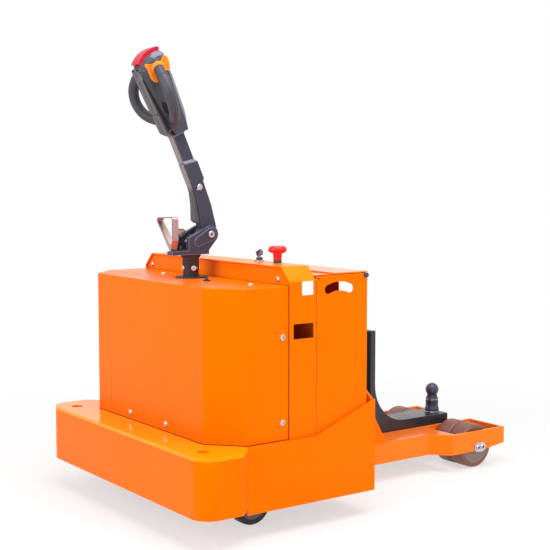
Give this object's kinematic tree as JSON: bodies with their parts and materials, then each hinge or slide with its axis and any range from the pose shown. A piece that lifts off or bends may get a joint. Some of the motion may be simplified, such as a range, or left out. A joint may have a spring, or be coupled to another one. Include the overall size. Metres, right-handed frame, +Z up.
{
  "type": "pedestrian airport baggage tug",
  "caption": "Walk-behind battery tug with a tiller-steered drive wheel, wrap-round bumper, rear legs on twin rollers and a lifting tow ball on a mast.",
  "frame": {"origin": "on the floor, under the middle of the machine's length and width", "axes": "+X towards the front bumper and the tiller head, +Y towards the machine's left side, +Z up"},
  "size_m": [1.5, 1, 1.4808],
  "materials": {
    "orange_paint": "smooth orange powder coat",
    "black_cast": "black powder coat on cast and welded steel",
    "black_plastic": "fine grained black moulding",
    "bright_steel": "machined steel",
    "zinc": "bright zinc plate",
    "battery_case": "dark moulded battery case",
    "red_plastic": "smooth red moulding",
    "orange_plastic": "smooth orange moulding",
    "grey_cast": "grey painted casting",
    "tyre_rubber": "solid rubber tyre",
    "caster_rubber": "solid rubber wheel on a steel core",
    "roller_tread": "reddish brown polyurethane on a steel core"
  },
  "bodies": {
    "chassis": {"front_bumper": "orange_paint", "bumper_top": "orange_paint", "deck_plate": "orange_paint", "side_plate_left": "orange_paint", "side_plate_right": "orange_paint", "bearing_ring": "bright_steel", "rear_bulkhead": "orange_paint", "leg_left": "orange_paint", "leg_right": "orange_paint", "leg_gussets": "orange_paint", "mast_rails": "black_cast", "mast_cheeks": "orange_paint", "front_hood": "orange_paint", "console_band": "orange_paint", "console_panel": "orange_paint", "battery_housing": "orange_paint", "battery_block": "battery_case", "lid_pins": "black_cast", "lift_cylinder": "black_cast", "emergency_stop": "red_plastic", "stop_base": "black_plastic", "key_switch": "zinc", "column_flange": "black_cast", "hood_plug": "black_plastic", "caster_mounts": "orange_paint", "roller_axles": "bright_steel", "axle_keepers": "zinc"},
    "steering": {"steering_column": "black_cast", "tiller_clevis": "black_cast", "pull_loop": "zinc", "drive_motor": "black_cast", "drive_gearbox": "grey_cast"},
    "tiller": {"pivot_pin": "zinc", "tiller_arm": "black_cast", "arm_cover": "black_plastic", "head_housing": "black_plastic", "handle_loops": "black_plastic", "belly_button": "red_plastic", "throttle_paddles": "orange_plastic"},
    "drive_wheel": {"drive_hub": "bright_steel", "drive_tyre": "tyre_rubber"},
    "caster_left": {"caster_fork_left": "zinc"},
    "caster_right": {"caster_fork_right": "zinc"},
    "caster_left_wheel": {"caster_wheel_left": "caster_rubber"},
    "caster_right_wheel": {"caster_wheel_right": "caster_rubber"},
    "rear_rollers_left": {"rollers_left": "roller_tread"},
    "rear_rollers_right": {"rollers_right": "roller_tread"},
    "hitch": {"tow_bracket": "black_cast", "tow_ball": "black_cast", "lift_rod": "bright_steel"},
    "lid": {"battery_lid": "orange_paint"}
  },
  "joints": [
    {"name": "steer", "type": "hinge", "parent": "chassis", "child": "steering", "pos_m": [0.476, 0, 0.2], "axis": [0, 0, 1], "range_deg": [-90, 90]},
    {"name": "tiller_tilt", "type": "hinge", "parent": "steering", "child": "tiller", "pos_m": [0.424, 0, 0.888], "axis": [0, 1, 0], "range_deg": [0, 40], "stiffness_Nm_per_rad": 16, "springref_deg": -51.57},
    {"name": "drive_wheel_roll", "type": "hinge", "parent": "steering", "child": "drive_wheel", "pos_m": [0.476, 0, 0.115], "axis": [0, 1, 0], "continuous": true},
    {"name": "caster_left_swivel", "type": "hinge", "parent": "chassis", "child": "caster_left", "pos_m": [0.492, 0.305, 0.15], "axis": [0, 0, 1], "continuous": true},
    {"name": "caster_left_roll", "type": "hinge", "parent": "caster_left", "child": "caster_left_wheel", "pos_m": [0.456, 0.305, 0.065], "axis": [0, 1, 0], "continuous": true},
    {"name": "rear_rollers_left_roll", "type": "hinge", "parent": "chassis", "child": "rear_rollers_left", "pos_m": [-0.62, 0.15, 0.08], "axis": [0, 1, 0], "continuous": true},
    {"name": "caster_right_swivel", "type": "hinge", "parent": "chassis", "child": "caster_right", "pos_m": [0.492, -0.305, 0.15], "axis": [0, 0, 1], "continuous": true},
    {"name": "caster_right_roll", "type": "hinge", "parent": "caster_right", "child": "caster_right_wheel", "pos_m": [0.456, -0.305, 0.065], "axis": [0, 1, 0], "continuous": true},
    {"name": "rear_rollers_right_roll", "type": "hinge", "parent": "chassis", "child": "rear_rollers_right", "pos_m": [-0.62, -0.15, 0.08], "axis": [0, 1, 0], "continuous": true},
    {"name": "hitch_lift", "type": "slide", "parent": "chassis", "child": "hitch", "axis": [0, 0, 1], "range_m": [0, 0.12]},
    {"name": "lid_hinge", "type": "hinge", "parent": "chassis", "child": "lid", "pos_m": [0.102, 0, 0.767], "axis": [0, -1, 0], "range_deg": [0, 95]}
  ]
}
